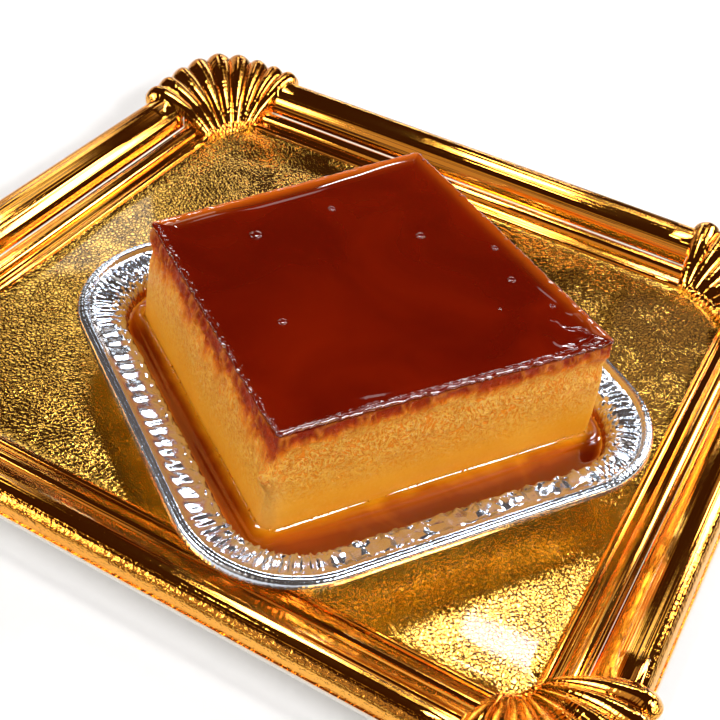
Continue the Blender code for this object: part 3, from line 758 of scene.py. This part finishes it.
def caramel_skin():
    """Loops round the slab: its underside, its edge, and rings that close over the top. The edge is
    a quarter round made ragged by noise. The top adds a low rim, which is a bell curve of the
    distance from the edge, slow waves, pits near the edge and wrinkles where a noise is near zero."""
    plan, normal = quad_plan(TOP_CORNERS, ROUND_TOP)
    middle = plan.mean(axis=0)
    count = len(plan)
    ragged = 0.00020 * flat_noise(plan, 0.0030, 51) + 0.00030 * flat_noise(plan, 0.0013, 58)
    back = np.clip(1.1 * normal[:, 1], 0.0, 1.0) + 0.4 * np.clip(normal[:, 0], 0.0, 1.0)
    loops, thin = [], []
    for share in np.linspace(0.1, 0.95, 6):
        loops.append(np.column_stack([middle + (plan - middle) * share, np.full(count, CARAMEL_BASE)]))
        thin.append(np.zeros(count))
    for angle in np.linspace(0.0, np.pi / 2, 8):
        inset = ROUNDING_IN * (1.0 - math.sin(angle)) - ragged
        height = CARAMEL_BASE + ROUNDING_UP * (1.0 - math.cos(angle))
        loops.append(np.column_stack([plan - normal * inset[:, None], np.full(count, height)]))
        thin.append(np.ones(count))
    for distance in RING_REACH * np.linspace(0.01, 1.0, CARAMEL_RINGS) ** 1.7:
        inset = min(distance, RING_MITRE)
        inner, _ = quad_plan(inset_corners(TOP_CORNERS, inset), max(ROUND_TOP - inset, 0.0005))
        shrink = (RING_REACH - distance + 0.0001) / (RING_REACH - inset + 0.0001)
        inner = middle + (inner - middle) * shrink
        inner = inner + normal * (ragged * math.exp(-distance / 0.001))[:, None]
        rise = (CARAMEL_RISE - ROUNDING_UP) * (1.0 - (1.0 - min(1.0, distance / 0.0007)) ** 2)
        wander = RIM_INSET + 0.0012 * flat_noise(inner, 0.016, 52)
        rim = RIM_RISE * np.exp(-((distance - wander) / 0.0011) ** 2)
        rim = rim * (0.75 + 0.5 * flat_noise(inner, 0.02, 53)) * (0.12 + 0.88 * back)
        swell = 0.00006 * flat_noise(inner, 0.020, 54)
        near = np.linalg.norm(inner - np.array(WRINKLE_PLACE), axis=1) / WRINKLE_REACH
        crease = np.abs(flat_noise(inner * (1.0, 0.55), 0.0032, 55))
        crease = np.exp(-near ** 2) * (1.0 - np.minimum(1.0, 4.0 * crease))
        pits = 0.00004 * flat_noise(inner, 0.0009, 56) * math.exp(-(distance / 0.0022) ** 2)
        relief = (rim + swell + WRINKLE_RISE * crease + pits) * min(1.0, distance / 0.0008)
        loops.append(np.column_stack([inner, CARAMEL_BASE + ROUNDING_UP + rise + relief]))
        thin.append(np.full(count, math.exp(-(distance / 0.0034) ** 2)))
    loops = np.array(loops)
    placed = np.concatenate([to_tray(loops[..., :2], FLAN_CENTRE), loops[..., 2:]], axis=-1)
    return placed, {"thin": np.array(thin), "back": back[None]}


def set_caramel():
    """Clear dark caramel: red-brown in depth, orange where it thins at the back edges, glassy on
    top, and beaded at the very edge."""
    material, tree, shader, place = new_material("set_caramel", 0.04)
    thin, rear = mask(tree, "thin"), mask(tree, "back")
    cloud = ramp(tree, noise(tree, place, 26.0, 3.0, distortion=0.8), (0.35, 0.0), (0.72, 1.0))
    edge = maths(tree, "ADD", thin, scaled(tree, noise(tree, place, 260.0, 4.0), 0.6, -0.3))
    thinned = times(tree, edge, scaled(tree, rear, 0.8, 0.2))
    colour = layers(tree, mix(tree, cloud, CARAMEL_DEEP, CARAMEL_CLEAR),
                    (ramp(tree, thinned, (0.15, 0.0), (0.8, 0.9)), CARAMEL_THIN),
                    (times(tree, rear, thin), CARAMEL_LIT))
    beads = times(tree, noise(tree, place, 560.0, 1.0), ramp(tree, thin, (0.80, 0.0), (1.0, 1.0)))
    height = scaled(tree, beads, 1.7, times(tree, noise(tree, place, 90.0), 0.12))
    supply(tree, shader, Base_Color=colour, Normal=bump(tree, height, 0.0003), Coat_Weight=1.0,
           Coat_Roughness=0.02, Subsurface_Weight=0.1, Subsurface_Scale=0.003,
           Subsurface_Radius=(1.0, 0.12, 0.02))
    return material


CARAMEL = set_caramel()
caramel_loops, caramel_masks = caramel_skin()
caramel = add_skin("caramel_glaze", caramel_loops, CARAMEL, masks=caramel_masks)
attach(caramel, "root")
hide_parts("caramel_top")

# ----------------------------------------------------------------------
# Air bubbles caught in the caramel: low domes of caramel skin, a few large ones on top and many
# tiny ones along the front and side edges. A row is a place in the food's frame and a radius.
BUBBLES = (
    (-0.0238, 0.0304, 0.0019), (0.0028, 0.0354, 0.0012), (0.0220, 0.0143, 0.0015),
    (-0.0320, -0.0082, 0.0013), (0.0402, 0.0017, 0.0011), (0.0368, -0.0133, 0.0013),
    (0.0415, -0.0274, 0.0009), (0.0266, -0.0235, 0.0006),
)
EDGE_COUNT = 170                     # tiny ones along the edges


def domes(name, places, squash, material):
    """Many small domes in one mesh, from rows of centre and radius. Each is a cap from a little
    below its equator to its peak, squash times as high as it is wide. Its width follows the cosine
    of the angle to the power 0.6, which fills out its shoulder."""
    slices, rings = 20, 9
    theta = np.linspace(0.0, 2 * np.pi, slices, endpoint=False)
    rise = np.linspace(-0.35, 1.0, rings) * np.pi / 2
    width = np.cos(rise) ** 0.6
    shape = np.stack([np.outer(width, np.cos(theta)), np.outer(width, np.sin(theta)),
                      np.outer(np.sin(rise) * squash, np.ones(slices))], axis=-1)[:-1]
    shape = shape.reshape(-1, 3)
    shape = np.concatenate([shape, [[0.0, 0.0, squash], [0.0, 0.0, math.sin(rise[0]) * squash]]])
    index = np.arange((rings - 1) * slices).reshape(rings - 1, slices)
    beside = np.roll(index, -1, axis=1)
    quads = np.stack([index[:-1], beside[:-1], beside[1:], index[1:]], axis=-1).reshape(-1, 4)
    peak, base = len(shape) - 2, len(shape) - 1
    caps = [(a, b, peak) for a, b in zip(index[-1], beside[-1])]
    floor = [(b, a, base) for a, b in zip(index[0], beside[0])]
    faces = quads.tolist() + caps + floor
    points = places[:, None, :3] + shape[None] * places[:, None, 3:4]
    every = [tuple(int(v) + turn * len(shape) for v in face)
             for turn in range(len(places)) for face in faces]
    mesh = bpy.data.meshes.new(name)
    mesh.from_pydata(points.reshape(-1, 3).tolist(), [], every)
    mesh.shade_smooth()
    return add_object(mesh, material)


def bubble_places():
    """Centres and radii: the large bubbles at their places, and tiny ones scattered along the
    edges, denser and lower towards the very edge."""
    large = np.array(BUBBLES)
    height = np.full(len(BUBBLES), CARAMEL_BASE + CARAMEL_RISE - 0.0001)
    large = np.column_stack([to_tray(large[:, :2], FLAN_CENTRE), height, large[:, 2]])
    plan, normal = quad_plan(TOP_CORNERS, ROUND_TOP)
    random = np.random.default_rng(57)
    column = random.choice(np.flatnonzero(normal[:, 1] < 0.5), EDGE_COUNT)
    inset = random.random(EDGE_COUNT) ** 2 * 0.0016
    plan = plan[column] - normal[column] * inset[:, None]
    height = CARAMEL_BASE + CARAMEL_RISE - 0.00045 * np.exp(-inset / 0.0004)
    radius = 0.00016 + 0.00030 * random.random(EDGE_COUNT) ** 2
    return np.concatenate([large, np.column_stack([to_tray(plan, FLAN_CENTRE), height, radius])])


bubbles = domes("caramel_bubbles", bubble_places(), 0.35, CARAMEL)
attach(bubbles, "root")

# ----------------------------------------------------------------------
# The syrup: thin caramel that has run down and stands round the foot of the flan. It climbs a
# little where it wets the custard and the foil, and a low fold runs round 4 mm from the flan.
SYRUP_ROWS = 60
MENISCUS_RISE, MENISCUS_REACH = 0.0014, 0.0015
FOLD_RISE, FOLD_AWAY, FOLD_REACH = 0.00014, 0.0042, 0.0006
# the shallow colour is real at the wall and a painted glow and reflection of the custard next to the
# flan
SYRUP_SHALLOW_AND_GLOW, SYRUP_AMBER, SYRUP_DEEP = (0.88, 0.31, 0.008), (0.52, 0.105, 0.001), (0.28, 0.028, 0.0003)


def wall_reach(plan, inset):
    """Carry each point straight out from the flan's middle to the case's wall at an inset: the
    crossing of its ray with the wall's chord."""
    wall, _, _ = case_plan(inset)
    wall = to_tray(wall, CASE_CENTRE) - np.array(FLAN_CENTRE)
    angle = np.arctan2(wall[:, 1], wall[:, 0])
    order = np.argsort(angle)
    ray = plan - np.array(FLAN_CENTRE)
    heading = np.arctan2(ray[:, 1], ray[:, 0])
    after = np.searchsorted(angle[order], heading) % len(order)
    start, stop = wall[order[after - 1]], wall[order[after]]
    edge = stop - start
    way = np.stack([np.cos(heading), np.sin(heading)], axis=-1)
    reach = start[:, 0] * edge[:, 1] - start[:, 1] * edge[:, 0]
    reach = reach / (way[:, 0] * edge[:, 1] - way[:, 1] * edge[:, 0])
    return np.array(FLAN_CENTRE) + way * reach[:, None]


def syrup_skin():
    """A ring of loops: its floor, the wall side, the surface from wall to flan, and the flan side.
    The surface climbs exponentially, and unevenly, at both ends and carries a fold that is a bell
    curve of the distance from the flan."""
    foot, _ = custard_loop(WATERLINE)
    inner = to_tray(foot[:, :2], FLAN_CENTRE)
    base, _ = custard_loop(0.02)
    inner_low = to_tray(base[:, :2], FLAN_CENTRE)
    outer = wall_reach(inner, WATER_INSET - 0.0003)
    outer_low = wall_reach(inner_low, 0.0146)
    low, level = BOARD + 0.0020, BOARD + SYRUP_LEVEL
    loops = [np.column_stack([inner_low, np.full(len(inner), low)]),
             np.column_stack([outer_low, np.full(len(inner), low)])]
    depth = [np.zeros(len(inner)), np.zeros(len(inner))]
    width = np.linalg.norm(outer - inner, axis=1)
    for share in 0.5 - 0.5 * np.cos(np.linspace(0.0, np.pi, SYRUP_ROWS)):
        plan = outer + (inner - outer) * share
        away, near = (1.0 - share) * width, share * width
        climb = 0.7 * np.exp(-near / MENISCUS_REACH) + np.exp(-away / MENISCUS_REACH)
        climb = climb * (0.90 + 0.25 * flat_noise(plan, 0.016, 62))
        ripple = 0.00008 * flat_noise(plan, 0.007, 61)
        fold = FOLD_RISE * np.exp(-((away - FOLD_AWAY) / FOLD_REACH) ** 2)
        fold = fold * (0.8 + 0.6 * flat_noise(plan, 0.012, 63))
        loops.append(np.column_stack([plan, level + climb * MENISCUS_RISE + ripple + fold]))
        # depth is 0 at the wall, where the syrup is shallow, and at the flan, where the colour is a
        # painted glow and reflection
        depth.append(np.minimum(near / 0.0022, away / 0.0080))
    return np.array(loops), {"depth": np.clip(np.array(depth), 0.0, 1.0)}


def caramel_syrup():
    """Clear syrup: amber where it is shallow at the wall, red-brown where deep; the orange next to the
    flan is a painted glow and reflection of the custard.
    """
    material, tree, shader, place = new_material("caramel_syrup", 0.05)
    cloud = noise(tree, place, 60.0, 3.0, distortion=0.6)
    deep = maths(tree, "ADD", mask(tree, "depth"), scaled(tree, cloud, 1.1, -0.55))
    colour = ramp(tree, deep, (0.0, SYRUP_SHALLOW_AND_GLOW), (0.40, SYRUP_AMBER), (0.95, SYRUP_DEEP))
    supply(tree, shader, Base_Color=colour, Normal=bump(tree, cloud, 0.0004, 0.2), Coat_Weight=1.0,
           Coat_Roughness=0.02, Subsurface_Weight=0.2, Subsurface_Scale=0.003,
           Subsurface_Radius=(1.0, 0.2, 0.03))
    return material


SYRUP = caramel_syrup()
syrup_loops, syrup_masks = syrup_skin()
syrup = add_skin("syrup_in_case", syrup_loops, SYRUP, ring=True, masks=syrup_masks)
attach(syrup, "root")
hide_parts("syrup_pool")

# ----------------------------------------------------------------------
# Froth: tiny bubbles left by the pouring, which cling to the waterline of the flan and of the
# foil as round domes of syrup.
FROTH_COUNT = 150


def froth_places():
    """Centres and radii: random places on the rows next to the two waterlines, most of them at
    the flan's."""
    random = np.random.default_rng(71)
    rows, columns = syrup_loops.shape[:2]
    column = random.integers(0, columns, FROTH_COUNT)
    at_flan = random.random(FROTH_COUNT) < 0.7
    flan_row = rows - 1 - random.integers(1, 4, FROTH_COUNT)
    wall_row = 2 + random.integers(1, 4, FROTH_COUNT)
    radius = 0.00018 + 0.00035 * random.random(FROTH_COUNT) ** 2
    return np.column_stack([syrup_loops[np.where(at_flan, flan_row, wall_row), column], radius])


froth = domes("syrup_froth", froth_places(), 0.8, SYRUP)
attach(froth, "root")

# ----------------------------------------------------------------------
# The studio: a pale table, white softboxes above, beside and behind the tray, dim warm ones where
# the foil and the custard mirror the room, and the camera.
CAMERA_PLACE = (0.1218, -0.2540, 0.2415)
CAMERA_HEADING = (-0.30981, 0.68384, -0.66059)
CAMERA_ROLL = math.radians(6.97)
LENS = 58.36
TABLE_HALF, TABLE_GAP = 6.0, 0.0002
WHITE, WARM = (1.0, 1.0, 1.0), (1.0, 0.78, 0.58)
# azimuth, elevation, distance, angles across and up, radiance, colour
SOFTBOXES = {
    "far_right": (-36.0, 32.0, 0.60, 16.0, 11.0, 28.0, WHITE),
    "overhead": (32.0, 66.0, 0.50, 11.0, 8.0, 36.0, WHITE),
    "left_key": (127.0, 33.0, 1.20, 24.0, 16.0, 16.0, WHITE),
    "near_right": (-102.0, 35.0, 1.00, 22.0, 12.0, 27.0, WHITE),
    "top_strip": (-3.0, 58.0, 0.80, 9.0, 2.0, 40.0, WHITE),
    "far_strip": (21.0, 17.0, 1.30, 24.0, 2.2, 12.0, WHITE),
    "camera_left": (163.0, 33.0, 1.30, 36.0, 34.0, 0.50, WARM),
    "left_wall": (55.0, 12.0, 1.30, 30.0, 16.0, 0.7, WARM),
    "back_left": (46.0, 32.0, 1.30, 9.0, 8.0, 4.0, WHITE),
    "back": (12.0, 54.0, 1.20, 13.0, 9.0, 1.3, WHITE),
    "back_right": (-2.0, 39.0, 1.20, 11.0, 11.0, 0.5, WARM),
}
ROOM, ROOM_STRENGTH = (1.0, 0.42, 0.16, 1.0), 0.04


def table():
    """A flat square of pale laminate that glows a little, as if lit through."""
    material, tree, shader, place = new_material("pale_table", 0.6)
    colour = mix(tree, noise(tree, place, 300.0), (0.80, 0.80, 0.80), (0.83, 0.83, 0.83))
    supply(tree, shader, Base_Color=colour, Emission_Color=(1.0, 1.0, 1.0, 1.0), Emission_Strength=0.10)
    corners = np.array([[-1, -1], [1, -1], [1, 1], [-1, 1]]) * TABLE_HALF
    mesh = bpy.data.meshes.new("table")
    mesh.from_pydata([(x, y, -TABLE_GAP) for x, y in corners.tolist()], [], [(0, 1, 2, 3)])
    return add_object(mesh, material)


def softbox(name, azimuth, elevation, distance, wide, tall, radiance, colour):
    """A rectangular light seen from the tray at an azimuth (degrees left of +Y), an elevation and
    a distance, as wide and tall as the angles say. Its power is its radiance times pi times its
    area."""
    turn, rise = math.radians(azimuth), math.radians(elevation)
    heading = Vector((-math.sin(turn) * math.cos(rise), math.cos(turn) * math.cos(rise), math.sin(rise)))
    lamp = bpy.data.lights.new(name, "AREA")
    lamp.shape = "RECTANGLE"
    lamp.size = 2.0 * distance * math.tan(math.radians(wide) / 2)
    lamp.size_y = 2.0 * distance * math.tan(math.radians(tall) / 2)
    lamp.color = colour
    lamp.energy = radiance * math.pi * lamp.size * lamp.size_y
    light = bpy.data.objects.new(name, lamp)
    light.location = heading * distance
    light.rotation_euler = heading.to_track_quat("Z", "Y").to_euler()
    bpy.context.scene.collection.objects.link(light)


def camera():
    """The camera, from its heading and its roll about it."""
    lens = bpy.data.cameras.new("camera")
    lens.sensor_width = 36.0
    lens.lens = LENS
    lens.clip_start = 0.01
    made = bpy.data.objects.new("camera", lens)
    look = Vector(CAMERA_HEADING).to_track_quat("-Z", "Y").to_matrix()
    turned = look @ Matrix.Rotation(CAMERA_ROLL, 3, "Z")
    made.matrix_world = Matrix.Translation(CAMERA_PLACE) @ turned.to_4x4()
    bpy.context.scene.collection.objects.link(made)
    return made


table()
for lamp_name, lamp_values in SOFTBOXES.items():
    softbox(lamp_name, *lamp_values)
world = bpy.data.worlds.new("studio")
world.use_nodes = True
room = world.node_tree.nodes["Background"]
room.inputs["Color"].default_value = ROOM
room.inputs["Strength"].default_value = ROOM_STRENGTH
bpy.context.scene.world = world
bpy.context.scene.camera = camera()
bpy.context.scene.view_settings.view_transform = "Standard"
